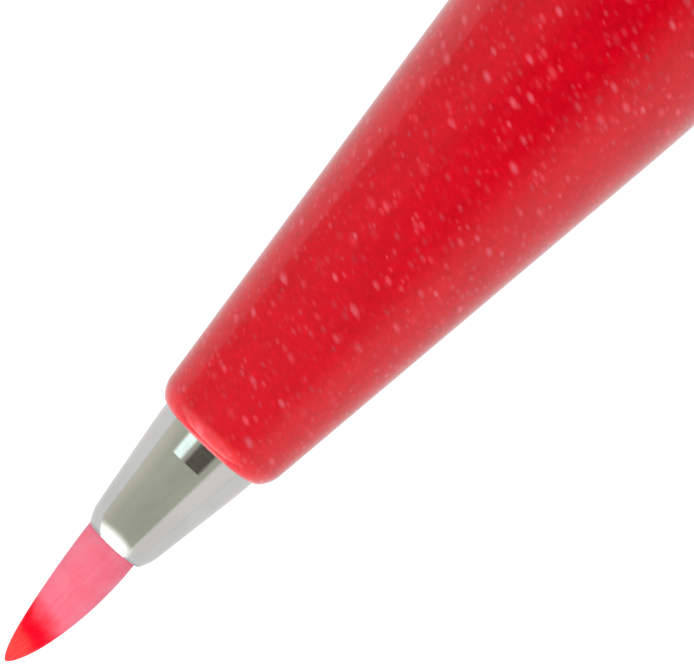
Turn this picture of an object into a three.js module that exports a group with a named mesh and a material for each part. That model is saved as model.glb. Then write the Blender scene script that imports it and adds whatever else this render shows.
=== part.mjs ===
// A refillable brush pen, lying on a table with its cap pushed on the tail.
// Units are millimetres. The pen's axis runs along +X, from the brush point to the crown of the cap.
// Stations along the axis ("u") are measured from the brush point, radii from the axis.
import * as THREE from "three";

// ---- Driving dimensions -------------------------------------------------------------------------
const FINE = 36; // sides of the outer turned pieces
const COARSE = 16; // sides of the inner turned pieces
const GAP = 0.08; // clearance between two turned pieces that fit together
const WICK_BORE = 0.5; // radius of the ink passage

const TUFT_LENGTH = 7.15; // brush hair that shows in front of the ferrule
const TUFT_RADIUS = 1.45; // where the hair leaves the ferrule
const TUFT_PIVOT = 5.75; // the hair bends about here
const TUFT_BALL = 1.3; // rounded back of the bending hair

const FERRULE_SHOULDER = 12.5; // the cone turns shallower here
const FERRULE_TUBE = 2.62; // radius of the part pushed into the grip
const FERRULE_END = 24.3;
const FLANGE_START = 23.6; // the flange stops the ferrule in the grip
const FLANGE_RADIUS = 3.2;

const LIP = 13.68; // front of the grip
const LIP_DEPTH = 1.25; // length of the rounded lip
const LIP_RISE = 0.77; // height of the rounded lip
const CONE_SLOPE = 0.116; // rise of the grip per millimetre
const CONE_BEND = 36; // behind this the cone curves in
const CONE_CURVE = 0.00343;
const GRIP_END = 45.5;
const FEED_BORE = 3.4; // radius of the grip's bore round the feed
const CUP_START = 41; // behind this the bore is wider, for the spike's cup
const CUP_BORE = 5;
const RING_START = 45.6;
const RING_END = 47.6;
const RING_SEAT = 6.2; // radius of the grip's step under the ring
const THREAD_START = 47.7;
const THREAD_END = 55.6;
const THREAD_RADIUS = 5.8;

const BODY_RADIUS = 7.5; // barrel shoulder, rings and cap share it
const BARREL_START = 47.75;
const POST_START = 113.5; // mouth of the cap when it sits on the tail
const POST_RADIUS = 6.7;
const BARREL_END = 131.5;
const TAIL_RADIUS = 6.2;
const TAIL_END = 135;
const BARREL_BORE = 5;
const INSERT_END = 58; // back of the brass sleeve in the barrel's mouth
const INSERT_RADIUS = 6.6;

const CARTRIDGE_RADIUS = 4.3;
const CARTRIDGE_WALL = 0.5;
const CARTRIDGE_END = 104;
const BALL_RADIUS = 1.6;
const BALL_STATION = 76;

const CAP_LENGTH = 54; // without the clip ring and crown
const CAP_BORE = 6.8;
const BAND_LENGTH = 4;
const BAND_SEAT = 7.1; // radius of the cap's neck under the band
const CAP_FLOOR = 52; // depth of the cap's end wall, from its mouth
const LINER_MOUTH = 23.8; // depth at which the liner meets the grip
const LINER_BORE = 4.25;
const LINER_WALL = 0.65;
const LINER_FLOOR = 49.4;
const CROWN_HOLE = 3;
const CLIP_RING_THICKNESS = 0.9;
const CLIP_RING_RADIUS = 7.25;
const CROWN_THICKNESS = 2.6;
const CROWN_RADIUS = 7.1;

const CLIP_WIDTH = 4;
const CLIP_THICKNESS = 0.7;
const CLIP_TOP = 9.3; // outer face of the clip, from the pen's axis
const CLIP_REACH = 38; // length of the clip arm
const CLIP_ROOT_GAP = 0.3;

// ---- Helpers ------------------------------------------------------------------------------------
// Points [u, r] on an elliptic arc round (u0, r0), angles in degrees from +u towards +r.
function arc(u0, r0, halfLength, halfHeight, from, to, steps) {
  return Array.from({ length: steps + 1 }, (_, i) => {
    const angle = THREE.MathUtils.degToRad(from + ((to - from) * i) / steps);
    return [u0 + halfLength * Math.cos(angle), r0 + halfHeight * Math.sin(angle)];
  });
}

// A solid turned round the pen's axis from a closed outline of [u, r] points. A flat facet lies
// underneath, so the round pieces rest on a face and not on an edge.
function turned(outline, sides) {
  const area = outline.reduce((sum, [u, r], i) => {
    const [nextU, nextR] = outline[(i + 1) % outline.length];
    return sum + u * nextR - nextU * r;
  }, 0);
  const points = (area > 0 ? [...outline].reverse() : outline).map(([u, r]) => new THREE.Vector2(r, u));
  const closedOnAxis = points[0].x === 0 && points.at(-1).x === 0;
  if (!closedOnAxis) points.push(points[0].clone());
  const solid = new THREE.LatheGeometry(points, sides, Math.PI / sides);
  return solid.rotateZ(-Math.PI / 2);
}

// A tube of one bore between two stations, with an outer outline of [u, r] points.
function sleeve(outer, bore) {
  return [...outer, [outer.at(-1)[0], bore], [outer[0][0], bore]];
}

function finish(color, roughness, metalness) {
  return new THREE.MeshStandardMaterial({ color, roughness, metalness });
}

const GLITTER_RED = finish(0xd2141f, 0.25, 0);
const CHROME = finish(0xc4c4bc, 0.15, 1);
const HAIR = finish(0xff7a90, 0.5, 0);
const WELDED_HAIR = finish(0xe04a5c, 0.6, 0);
const FIBRE = finish(0xd8404e, 0.9, 0);
const BLACK_PLASTIC = finish(0x18181a, 0.4, 0);
const CLEAR_PLASTIC = finish(0xd8dcdc, 0.2, 0);
const INK_PLASTIC = finish(0xb01824, 0.2, 0);
const WHITE_PLASTIC = finish(0xe8e8e4, 0.5, 0);
const RUBBER = finish(0x202020, 0.8, 0);
const BRASS = finish(0xb89448, 0.3, 1);
const STEEL = finish(0xb8b8b8, 0.25, 1);

const pen = new THREE.Group();

function add(name, geometry, material, position = [0, 0, 0]) {
  const mesh = new THREE.Mesh(geometry, material);
  mesh.name = name;
  mesh.position.set(...position);
  pen.add(mesh);
  return mesh;
}

// ---- Brush and ferrule --------------------------------------------------------------------------
function tuftRadius(u) {
  return TUFT_RADIUS * (1 - (1 - u / TUFT_LENGTH) ** 1.6) ** 0.62;
}

// The hair that shows: an ogive point, with a round back so that it can bend in front of the ferrule.
function bristleTuft() {
  const steps = 10;
  const point = Array.from({ length: steps }, (_, i) => {
    const u = TUFT_PIVOT * (i / steps) ** 1.5;
    return [u, Math.min(tuftRadius(u), TUFT_BALL)];
  });
  const back = arc(TUFT_PIVOT, 0, TUFT_BALL, TUFT_BALL, 90, 0, 5);
  back.at(-1)[1] = 0;
  point[0][1] = 0;
  return turned([...point, ...back], COARSE);
}

const FERRULE_BORE = [
  [7.3, 1.46],
  [7.9, 1.5],
  [FERRULE_SHOULDER, 2.16],
  [FERRULE_END, 2.26],
];

// Tapered metal tube with a rolled mouth. A flange at its back end stops it in the grip.
function ferrule() {
  const mouth = arc(7.9, 1.5, 0.7, 0.26, 165, 90, 4);
  const outside = [
    [FERRULE_SHOULDER, 2.51],
    [LIP, FERRULE_TUBE],
    [FLANGE_START, FERRULE_TUBE],
    [FLANGE_START, FLANGE_RADIUS],
    [FERRULE_END, FLANGE_RADIUS],
  ];
  return turned([...mouth, ...outside, ...[...FERRULE_BORE].reverse()], FINE);
}

// The hair inside the ferrule, splayed out by its cone so that it can't pull out.
function tuftRoot() {
  const back = 13.5;
  return turned(
    sleeve([[7.25, 1.38], [7.9, 1.42], [FERRULE_SHOULDER, 2.08], [back, 2.09]], WICK_BORE + 0.05),
    COARSE,
  );
}

// The roots of the hair, melted together into a button.
function rootWeld() {
  return turned(sleeve([[13.6, 2.12], [14.4, 2.12]], WICK_BORE + 0.05), COARSE);
}

// Plastic collar that holds the welded roots against the cone.
function rootCollar() {
  return turned(sleeve([[14.5, 2.1], [14.8, 2.16], [17.8, 2.16], [18, 2.05]], 1.25), COARSE);
}

// Fibre rod that carries ink from the cartridge's spike into the hair.
function inkWick() {
  return turned([[7.6, 0], [7.9, 0.42], [43.5, 0.42], [43.5, 0]], COARSE);
}

// ---- Grip and feed ------------------------------------------------------------------------------
function coneRadius(u) {
  const curved = Math.max(0, u - CONE_BEND);
  return 3.39 + CONE_SLOPE * (u - 15) - CONE_CURVE * curved ** 2;
}

// Tapered grip: round lip at the front, and a threaded spigot at the back for the barrel.
function gripSection() {
  const lip = arc(LIP + LIP_DEPTH, 2.62, LIP_DEPTH, LIP_RISE, 172, 90, 6);
  const cone = [26, CONE_BEND, CUP_START, GRIP_END].map((u) => [u, coneRadius(u)]);
  return turned(
    [
      ...lip,
      ...cone,
      [GRIP_END, RING_SEAT],
      [THREAD_START, RING_SEAT],
      [THREAD_START, THREAD_RADIUS],
      [THREAD_END, THREAD_RADIUS],
      [THREAD_END, CUP_BORE],
      [CUP_START, CUP_BORE],
      [CUP_START, FEED_BORE],
      [FLANGE_START - 0.1, FEED_BORE],
      [FLANGE_START - 0.1, FERRULE_TUBE + GAP],
      [LIP + 0.1, FERRULE_TUBE + GAP],
    ],
    FINE,
  );
}

// Comb feed: the gaps between its fins take up ink when the pen warms.
function feedCollector() {
  const first = 25;
  const pitch = 1.3;
  const fins = Array.from({ length: 10 }, (_, i) => {
    const u = first + i * pitch;
    return [[u, 1.7], [u, 3.3], [u + 0.6, 3.3], [u + 0.6, 1.7]];
  }).flat();
  return turned(
    sleeve(
      [[18.1, 1.1], [24.6, 1.15], [24.6, 1.7], ...fins, [38.4, 1.7], [38.4, 3.3], [39, 3.3],
        [39, 2.5], [39.9, 2.5], [39.9, 3.3], [40.9, 3.3]],
      WICK_BORE,
    ),
    COARSE,
  );
}

// Rubber ring in the feed's groove.
function feedSeal() {
  const ring = arc(39.45, 2.94, 0.4, 0.4, 0, 360, 8).slice(0, -1);
  return turned(ring, COARSE);
}

// Cup with a hollow spike that opens the cartridge and feeds the wick.
function spikeHousing() {
  return turned(
    [
      [CUP_START + 0.1, 1.8],
      [CUP_START + 0.1, CUP_BORE - 0.1],
      [55.4, CUP_BORE - 0.1],
      [55.4, CARTRIDGE_RADIUS + 0.15],
      [44, CARTRIDGE_RADIUS + 0.15],
      [44, 1.2],
      [50, 1.2],
      [50.6, 0.8],
      [50.6, WICK_BORE],
      [CUP_START + 0.1, WICK_BORE],
    ],
    COARSE,
  );
}

// Ink cartridge, opened by the spike.
function inkCartridge() {
  const inside = CARTRIDGE_RADIUS - CARTRIDGE_WALL;
  return turned(
    [
      [46.5, 1.3],
      [46.5, 2.3],
      [50, 2.3],
      [51.4, CARTRIDGE_RADIUS],
      [CARTRIDGE_END - 1, CARTRIDGE_RADIUS],
      [CARTRIDGE_END, 3.4],
      [CARTRIDGE_END, 0],
      [CARTRIDGE_END - 0.8, 0],
      [CARTRIDGE_END - 0.8, 3],
      [CARTRIDGE_END - 1.5, inside],
      [52, inside],
      [50.8, 1.3],
    ],
    COARSE,
  );
}

// ---- Barrel -------------------------------------------------------------------------------------
// Bright ring that the cap closes against. It rides on the grip's step.
function gripRing() {
  const edge = 0.3;
  return turned(
    sleeve(
      [
        [RING_START, BODY_RADIUS - edge],
        [RING_START + edge, BODY_RADIUS],
        [RING_END - edge, BODY_RADIUS],
        [RING_END, BODY_RADIUS - edge],
      ],
      RING_SEAT + GAP,
    ),
    FINE,
  );
}

// Brass sleeve with the female thread, pressed into the barrel's mouth.
function threadInsert() {
  return turned(
    sleeve([[BARREL_START + 0.2, INSERT_RADIUS], [INSERT_END, INSERT_RADIUS]], THREAD_RADIUS + GAP),
    FINE,
  );
}

// Barrel: widest at the ring, and tapered to a tail that takes the cap.
function barrel() {
  return turned(
    [
      [BARREL_START, INSERT_RADIUS + 0.1],
      [BARREL_START, 7.3],
      [BARREL_START + 0.25, BODY_RADIUS],
      [52, BODY_RADIUS],
      [70, 7.4],
      [92, 7.1],
      [POST_START - 1.5, POST_RADIUS],
      [POST_START + 8, POST_RADIUS - 0.1],
      [BARREL_END, TAIL_RADIUS],
      [BARREL_END, BARREL_BORE],
      [INSERT_END + 0.1, BARREL_BORE],
      [INSERT_END + 0.1, INSERT_RADIUS + 0.1],
    ],
    FINE,
  );
}

// Bright plug that closes the tail.
function tailPlug() {
  return turned(
    [
      [125, 0],
      [125, 4.4],
      [126, BARREL_BORE - GAP],
      [BARREL_END + GAP, BARREL_BORE - GAP],
      [BARREL_END + GAP, TAIL_RADIUS - 0.05],
      ...arc(TAIL_END - 1.2, TAIL_RADIUS - 1.25, 1.2, 1.2, 90, 0, 4),
      [TAIL_END, 0],
    ],
    FINE,
  );
}

// ---- Cap ----------------------------------------------------------------------------------------
// The cap's stations are depths from its mouth, so its pieces are placed at POST_START.
function capShell() {
  return turned(
    [
      [0.25, CAP_BORE],
      [0.25, BAND_SEAT],
      [BAND_LENGTH + GAP, BAND_SEAT],
      [BAND_LENGTH + GAP, BODY_RADIUS],
      [CAP_LENGTH - 4, BODY_RADIUS],
      [CAP_LENGTH - 0.3, 7.3],
      [CAP_LENGTH, 7.1],
      [CAP_LENGTH, CROWN_HOLE],
      [CAP_FLOOR, CROWN_HOLE],
      [CAP_FLOOR, CAP_BORE],
    ],
    FINE,
  );
}

function capBand() {
  const edge = 0.25;
  return turned(
    [
      [0, 6.95],
      [0, BODY_RADIUS - edge],
      [edge, BODY_RADIUS],
      [BAND_LENGTH, BODY_RADIUS],
      [BAND_LENGTH, BAND_SEAT + 0.06],
      [0.17, BAND_SEAT + 0.06],
      [0.17, 6.95],
    ],
    FINE,
  );
}

// Inner cap: its mouth closes on the grip and keeps the brush wet. Two ribs hold it in the shell.
function capLiner() {
  const wall = LINER_BORE + LINER_WALL;
  const rib = CAP_BORE - GAP;
  return turned(
    [
      [LINER_MOUTH, LINER_BORE + 0.3],
      [LINER_MOUTH, wall],
      [29, wall],
      [29, rib],
      [30, rib],
      [30, wall],
      [LINER_FLOOR - 1, wall],
      [LINER_FLOOR - 1, rib],
      [LINER_FLOOR + 1, rib],
      [LINER_FLOOR + 1, 0],
      [LINER_FLOOR, 0],
      [LINER_FLOOR, LINER_BORE],
      [LINER_MOUTH + 0.8, LINER_BORE],
    ],
    FINE,
  );
}

// Nut inside the cap that holds the crown's shank.
function crownNut() {
  return turned(sleeve([[LINER_FLOOR + 1.1, 5], [CAP_FLOOR - GAP, 5]], 2.4), COARSE);
}

// Crown with a shank that runs through the clip ring and the cap's end wall.
function capCrown() {
  const base = CAP_LENGTH + CLIP_RING_THICKNESS + 2 * GAP;
  const end = base + CROWN_THICKNESS;
  const edge = 1;
  return turned(
    [
      [LINER_FLOOR + 1.1, 0],
      [LINER_FLOOR + 1.1, 2.3],
      [CAP_FLOOR + GAP, 2.3],
      [CAP_FLOOR + GAP, CROWN_HOLE - 0.1],
      [base, CROWN_HOLE - 0.1],
      [base, CROWN_RADIUS],
      ...arc(end - edge, CROWN_RADIUS - edge, edge, edge, 90, 0, 4),
      [end, 0],
    ],
    FINE,
  );
}

// ---- Clip ---------------------------------------------------------------------------------------
// The clip is turned so far that its edge just clears the table, and it keeps the pen from rolling.
const REST_HEIGHT = BODY_RADIUS * Math.cos(Math.PI / FINE);
const CLIP_CORNER = Math.hypot(CLIP_TOP, CLIP_WIDTH / 2);
const CLIP_MARGIN = 0.006;
const CLIP_ANGLE =
  Math.acos(REST_HEIGHT / CLIP_CORNER) + Math.atan2(CLIP_WIDTH / 2, CLIP_TOP) + CLIP_MARGIN;

// Washer between cap and crown, with the tab that the arm springs from.
function clipRing() {
  const half = CLIP_WIDTH / 2;
  const corner = Math.asin(half / CLIP_RING_RADIUS);
  const outline = new THREE.Shape();
  outline.absarc(0, 0, CLIP_RING_RADIUS, corner, 2 * Math.PI - corner, false);
  outline.lineTo(CLIP_TOP, -half);
  outline.lineTo(CLIP_TOP, half);
  outline.closePath();
  const hole = new THREE.Path();
  hole.absarc(0, 0, CROWN_HOLE, 0, 2 * Math.PI, true);
  outline.holes.push(hole);
  const washer = new THREE.ExtrudeGeometry(outline, {
    depth: CLIP_RING_THICKNESS,
    bevelEnabled: false,
    curveSegments: COARSE,
  });
  // The tab points along +x in the drawing: turn it down, and then round to the clip's place.
  return washer.rotateY(Math.PI / 2).rotateX(-CLIP_ANGLE);
}

// Sprung arm, seen from the side: a strip with a pinch bump and an upturned end.
function clipArm() {
  const inner = CLIP_TOP - CLIP_THICKNESS;
  const touch = BODY_RADIUS + 0.12;
  const bump = CLIP_REACH - 4;
  const side = new THREE.Shape();
  side.moveTo(0, inner);
  side.lineTo(-(bump - 3), inner - 0.1);
  side.quadraticCurveTo(-(bump - 1.5), touch, -bump, touch);
  side.quadraticCurveTo(-(bump + 1.5), touch, -CLIP_REACH, inner);
  side.lineTo(-CLIP_REACH, inner + 0.5);
  side.lineTo(-bump, inner + 0.35);
  side.lineTo(-(bump - 4), CLIP_TOP);
  side.lineTo(0, CLIP_TOP);
  side.closePath();
  const strip = new THREE.ExtrudeGeometry(side, {
    depth: CLIP_WIDTH,
    bevelEnabled: false,
    curveSegments: 4,
  });
  return strip.translate(0, 0, -CLIP_WIDTH / 2).rotateX(-(Math.PI / 2 + CLIP_ANGLE));
}

// ---- Assembly -----------------------------------------------------------------------------------
add("bristle_tuft", bristleTuft(), HAIR);
add("tuft_root", tuftRoot(), HAIR);
add("root_weld", rootWeld(), WELDED_HAIR);
add("root_collar", rootCollar(), WHITE_PLASTIC);
add("ferrule", ferrule(), CHROME);
add("ink_wick", inkWick(), FIBRE);
add("grip_section", gripSection(), GLITTER_RED);
add("feed_collector", feedCollector(), BLACK_PLASTIC);
add("feed_seal", feedSeal(), RUBBER);
add("spike_housing", spikeHousing(), CLEAR_PLASTIC);
add("ink_cartridge", inkCartridge(), INK_PLASTIC);
const ballDrop = CARTRIDGE_RADIUS - CARTRIDGE_WALL - BALL_RADIUS - 0.1;
add("mixing_ball", new THREE.SphereGeometry(BALL_RADIUS, 12, 8), STEEL, [BALL_STATION, 0, -ballDrop]);

add("grip_ring", gripRing(), CHROME);
add("barrel", barrel(), GLITTER_RED);
add("thread_insert", threadInsert(), BRASS);
add("tail_plug", tailPlug(), CHROME);

const atMouth = [POST_START, 0, 0];
add("cap_shell", capShell(), GLITTER_RED, atMouth);
add("cap_band", capBand(), CHROME, atMouth);
add("cap_liner", capLiner(), WHITE_PLASTIC, atMouth);
add("crown_nut", crownNut(), BRASS, atMouth);
add("cap_crown", capCrown(), CHROME, atMouth);
const ringStation = POST_START + CAP_LENGTH + GAP;
add("clip_ring", clipRing(), CHROME, [ringStation, 0, 0]);
add("clip_arm", clipArm(), CHROME, [ringStation - CLIP_ROOT_GAP, 0, 0]);

// The origin is on the table, under the middle of the pen's box.
const box = new THREE.Box3().setFromObject(pen);
const middle = box.getCenter(new THREE.Vector3());
pen.position.set(-middle.x, -middle.y, -box.min.z);

export default pen;
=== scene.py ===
"""A refillable brush pen on a light table, with its cap pushed on the tail.

The pen lies along +X. Stations along it ("u") are measured from the brush point, and radii ("r") from
its axis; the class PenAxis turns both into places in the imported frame. Every length is in millimetres
where its description gives no other unit.
"""
import logging
import math
from dataclasses import dataclass
from enum import Enum

import bmesh
import bpy
from bmesh.types import BMesh, BMFace
from bpy.types import Material, Node, NodeTree, Object
from mathutils import Matrix, Vector


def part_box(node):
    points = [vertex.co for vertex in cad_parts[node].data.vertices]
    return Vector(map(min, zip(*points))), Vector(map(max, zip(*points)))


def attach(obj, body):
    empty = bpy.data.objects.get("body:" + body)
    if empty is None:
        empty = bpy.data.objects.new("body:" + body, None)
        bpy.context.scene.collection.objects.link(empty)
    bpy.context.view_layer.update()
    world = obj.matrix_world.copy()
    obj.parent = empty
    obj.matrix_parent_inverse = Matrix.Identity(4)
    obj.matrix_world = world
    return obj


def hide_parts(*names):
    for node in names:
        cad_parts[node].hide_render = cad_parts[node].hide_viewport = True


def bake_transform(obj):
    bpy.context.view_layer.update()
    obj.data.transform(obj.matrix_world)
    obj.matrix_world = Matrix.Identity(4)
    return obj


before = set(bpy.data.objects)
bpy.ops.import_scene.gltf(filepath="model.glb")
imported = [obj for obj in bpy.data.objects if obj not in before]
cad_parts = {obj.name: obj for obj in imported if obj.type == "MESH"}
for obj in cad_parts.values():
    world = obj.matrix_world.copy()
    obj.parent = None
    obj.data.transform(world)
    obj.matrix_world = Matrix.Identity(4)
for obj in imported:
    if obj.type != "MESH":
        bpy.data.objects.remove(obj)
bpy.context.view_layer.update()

LOG = logging.getLogger("brush_pen")
MM = 0.001  # one millimetre in metres
FULL_TURN = 2 * math.pi
SMOOTH_STEPS = 128  # steps round the large turned pieces
INNER_STEPS = 64  # steps round the small inner ones
MERGE = 1e-7  # metres; points closer than this are one point
SHARP_ANGLE = math.radians(38)  # faces that meet at more than this have a sharp edge
ABOUT_AXIS = {"cent": (0, 0, 0), "axis": (1, 0, 0)}  # how bmesh is told to turn about the pen's axis
REST_PLACE = "rest_place"  # attribute that holds where each point of the hair is at rest
BODY_RADIUS = 7.5  # of ring, barrel shoulder and cap
THREAD_PITCH = 1.25  # of the grip's thread in the barrel's sleeve

Rgb = tuple[float, float, float]
Point = tuple[float, float]
Corner = tuple[float, ...]  # station, radius and, where it is rounded, the radius of its rounding


class Slot(Enum):
    """The record's material slots."""

    GLITTER = "glitter_red"
    METAL = "bright_metal"
    HAIR = "brush_hair"
    BLACK = "black_plastic"
    CLEAR = "clear_plastic"
    INK = "ink_plastic"
    WHITE = "white_plastic"
    RUBBER = "seal_rubber"
    BRASS = "brass"
    STEEL = "steel"


# ---- Places ----
@dataclass(frozen=True)
class PenAxis:
    """The pen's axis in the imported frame.

    Attributes:
        origin: The brush point at rest, in metres.
    """

    origin: Vector

    @classmethod
    def from_frame(cls) -> "PenAxis":
        """Reads the axis off the turned CAD nodes.

        Returns:
            The axis, from the hair's front end and the ferrule's middle.
        """
        tip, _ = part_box("bristle_tuft")
        low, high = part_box("ferrule")
        middle = (low + high) / 2
        return cls(Vector((tip.x, middle.y, middle.z)))

    def at(self, u: float, y: float = 0.0) -> Vector:
        """Turns a place on the pen into a place in the frame.

        Args:
            u: Station.
            y: Distance from the axis along +Y.

        Returns:
            The place in metres.
        """
        return self.origin + Vector((u, y, 0.0)) * MM


AXIS = PenAxis.from_frame()


# ---- Outlines ----
def rounded(corners: list[Corner], steps: int = 5, hold: float = 0.03) -> list[Point]:
    """Rounds the corners of an outline.

    Args:
        corners: The corners in order. The first and last aren't rounded.
        steps: Straight pieces in each rounded corner.
        hold: Length of the short straight left on each side of it, which keeps the flats flat.

    Returns:
        Points (u, r).
    """
    points: list[Point] = []
    for i, (u, r, *rounding) in enumerate(corners):
        if not any(rounding) or i in (0, len(corners) - 1):
            points.append((u, r))
            continue
        here, fillet = Vector((u, r)), rounding[0]
        back = (Vector(corners[i - 1][:2]) - here).normalized()
        ahead = (Vector(corners[i + 1][:2]) - here).normalized()
        half = back.angle(ahead) / 2
        reach = fillet / math.tan(half)
        centre = here + (back + ahead).normalized() * fillet / math.sin(half)
        first, last = here + back * reach - centre, here + ahead * reach - centre
        points.append(tuple(here + back * (reach + hold)))
        points += [tuple(centre + first.slerp(last, k / steps) * fillet) for k in range(steps + 1)]
        points.append(tuple(here + ahead * (reach + hold)))
    return points


def ring_outline(corners: list[Corner], fillet: float) -> list[Point]:
    """Rounds every corner of a closed outline.

    Args:
        corners: The corners in order, without a repeated end.
        fillet: Radius for each corner that has none of its own.

    Returns:
        Points (u, r).
    """
    filled = [(*corner, fillet)[:3] for corner in corners]
    return rounded([filled[-1], *filled, filled[0]])[1:-1]


def ease(value: float) -> float:
    """Smooth step of a value clamped to 0..1."""
    value = max(0.0, min(1.0, value))
    return value * value * (3 - 2 * value)


# ---- Meshes ----
def close_shell(shell: BMesh) -> None:
    """Merges doubled points, turns the faces outwards and marks the sharp edges.

    Args:
        shell: The mesh to finish.
    """
    bmesh.ops.remove_doubles(shell, verts=shell.verts, dist=MERGE)
    bmesh.ops.recalc_face_normals(shell, faces=shell.faces)
    for face in shell.faces:
        face.smooth = True
    for edge in shell.edges:
        if len(edge.link_faces) == 2 and edge.calc_face_angle() > SHARP_ANGLE:
            edge.smooth = False


def spun(points: list[Point], steps: int) -> BMesh:
    """Spins an outline once round the pen's axis.

    Args:
        points: Points (u, r). An outline that starts on the axis also ends there; any other closes
            on its first point.
        steps: Steps round the axis.

    Returns:
        A closed shell about the frame's X axis, in metres.
    """
    shell = bmesh.new()
    verts = [shell.verts.new((u * MM, 0.0, r * MM)) for u, r in points]
    starts_off_axis = points[0][1] > 0
    ends = verts[1:] + verts[:1] if starts_off_axis else verts[1:]
    outline = verts + [shell.edges.new(pair) for pair in zip(verts, ends)]
    bmesh.ops.spin(shell, geom=outline, **ABOUT_AXIS, angle=FULL_TURN, steps=steps, use_merge=True)
    close_shell(shell)
    return shell


def link(name: str, data: bpy.types.ID) -> Object:
    """Adds an object to the scene.

    Args:
        name: Its name.
        data: Its mesh, light or camera.

    Returns:
        The object, at the origin.
    """
    made = bpy.data.objects.new(name, data)
    bpy.context.scene.collection.objects.link(made)
    return made


# ---- Shader helpers ----
Socket = bpy.types.NodeSocket


class Sheet:
    """Adds nodes to a node tree and joins them.

    Args:
        tree: The tree to fill.
    """

    def __init__(self, tree: NodeTree) -> None:
        """Starts on a tree."""
        self.tree = tree

    def node(self, kind: str, inputs: dict | None = None, **settings: object) -> Node:
        """Adds a node.

        Args:
            kind: Its type, without the "ShaderNode" in front.
            inputs: Socket name or number to a value or to another node's output.
            **settings: Properties of the node.

        Returns:
            The new node.
        """
        made = self.tree.nodes.new("ShaderNode" + kind)
        for key, value in settings.items():
            setattr(made, key, value)
        for key, value in (inputs or {}).items():
            if isinstance(value, Socket):
                self.tree.links.new(value, made.inputs[key])
            else:
                made.inputs[key].default_value = value
        return made

    def feed(self, target: Node, **sockets: Socket) -> None:
        """Links sockets to a node's inputs, whose names have _ for a space."""
        for name, socket in sockets.items():
            self.tree.links.new(socket, target.inputs[name.replace("_", " ")])

    def math(self, operation: str, *values: float | Socket, clamp: bool = False) -> Socket:
        """Adds a Math node and gives its output."""
        return self.node("Math", dict(enumerate(values)), operation=operation, use_clamp=clamp).outputs[0]

    def vector_math(self, operation: str, *values: object) -> Socket:
        """Adds a Vector Math node and gives its vector output."""
        return self.node("VectorMath", dict(enumerate(values)), operation=operation).outputs[0]

    def noise(self, place: Socket, scale: float, detail: float, **more: float) -> Socket:
        """Adds a Noise Texture and gives its value. More inputs are given by their names."""
        inputs = {"Vector": place, "Scale": scale, "Detail": detail, **more}
        return self.node("TexNoise", inputs).outputs[0]

    def fade(self, value: Socket, low: float, high: float, start: float = 0.0, end: float = 1.0) -> Socket:
        """Maps a value smoothly from low..high to start..end."""
        inputs = {"Value": value, "From Min": low, "From Max": high, "To Min": start, "To Max": end}
        return self.node("MapRange", inputs, interpolation_type="SMOOTHSTEP").outputs[0]

    def window(self, value: Socket, low: float, high: float, soft: float) -> Socket:
        """Gives 1 between low and high and 0 outside, with soft edges."""
        rise = self.fade(value, low - soft, low + soft)
        return self.math("MULTIPLY", rise, self.fade(value, high - soft, high + soft, 1.0, 0.0))

    def mix(self, factor: float | Socket, first: object, second: object, blend: str = "MIX") -> Socket:
        """Mixes two colours and gives the mix."""
        inputs = {0: factor, 6: first, 7: second}
        return self.node("Mix", inputs, data_type="RGBA", blend_type=blend).outputs[2]

    def shaded(self, colour: Socket, level: Socket) -> Socket:
        """Multiplies a colour by a level."""
        grey = self.node("CombineColor", {0: level, 1: level, 2: level}).outputs[0]
        return self.mix(1.0, colour, grey, "MULTIPLY")


def rgba(colour: Rgb) -> tuple[float, float, float, float]:
    """Adds an alpha of 1 to a colour."""
    return (*colour, 1.0)


@dataclass(frozen=True)
class Port:
    """An input or output of a shader group.

    Attributes:
        name: Its name.
        kind: Float, Color or Vector.
        value: Default value of an input.
    """

    name: str
    kind: str = "Float"
    value: object = None


def new_group(name: str, inputs: list[Port], outputs: list[Port]) -> tuple[Sheet, dict, Node]:
    """Starts a shader node group.

    Args:
        name: Name of the group.
        inputs: Its inputs.
        outputs: Its outputs.

    Returns:
        A sheet on the group's tree, its input sockets by name, and its output node.
    """
    tree = bpy.data.node_groups.new(name, "ShaderNodeTree")
    for ports, way in ((inputs, "INPUT"), (outputs, "OUTPUT")):
        for port in ports:
            made = tree.interface.new_socket(port.name, in_out=way, socket_type="NodeSocket" + port.kind)
            if port.value is not None:
                made.default_value = port.value
    given = tree.nodes.new("NodeGroupInput").outputs
    return Sheet(tree), {port.name: given[port.name] for port in inputs}, tree.nodes.new("NodeGroupOutput")


def axis_coordinates(sheet: Sheet, bends: bool = False) -> tuple[Socket, Socket]:
    """Adds nodes that give a point's place on the pen.

    Args:
        sheet: The tree to add them to.
        bends: Read the place at rest that the piece carries in an attribute, so its pattern would stay on it
            if it bent.

    Returns:
        Place relative to the brush point, and unrolled place (station, way round, radius).
    """
    if bends:
        given = sheet.node("Attribute", attribute_name=REST_PLACE).outputs["Vector"]
    else:
        given = sheet.node("TexCoord").outputs["Object"]
    place = sheet.vector_math("SUBTRACT", given, tuple(AXIS.origin))
    place = sheet.vector_math("MULTIPLY", place, (1 / MM, 1 / MM, 1 / MM))
    parts = sheet.node("SeparateXYZ", {0: place}).outputs
    square = sheet.math("MULTIPLY", parts[1], parts[1])
    radius = sheet.math("SQRT", sheet.math("MULTIPLY_ADD", parts[2], parts[2], square))
    way_round = sheet.math("MULTIPLY", sheet.math("ARCTAN2", parts[1], parts[2]), radius)
    return place, sheet.node("CombineXYZ", {0: parts[0], 1: way_round, 2: radius}).outputs[0]


# ---- Shader groups ----
@dataclass(frozen=True)
class FlakeLayer:
    """One size of glitter flake.

    Attributes:
        port: Name of the group's input for how bright its flakes are.
        cell: Distance between two flakes.
        share: Share of the cells that hold a flake.
        size: Size of a flake, as a share of its cell.
    """

    port: str
    cell: float
    share: float
    size: float


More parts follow.
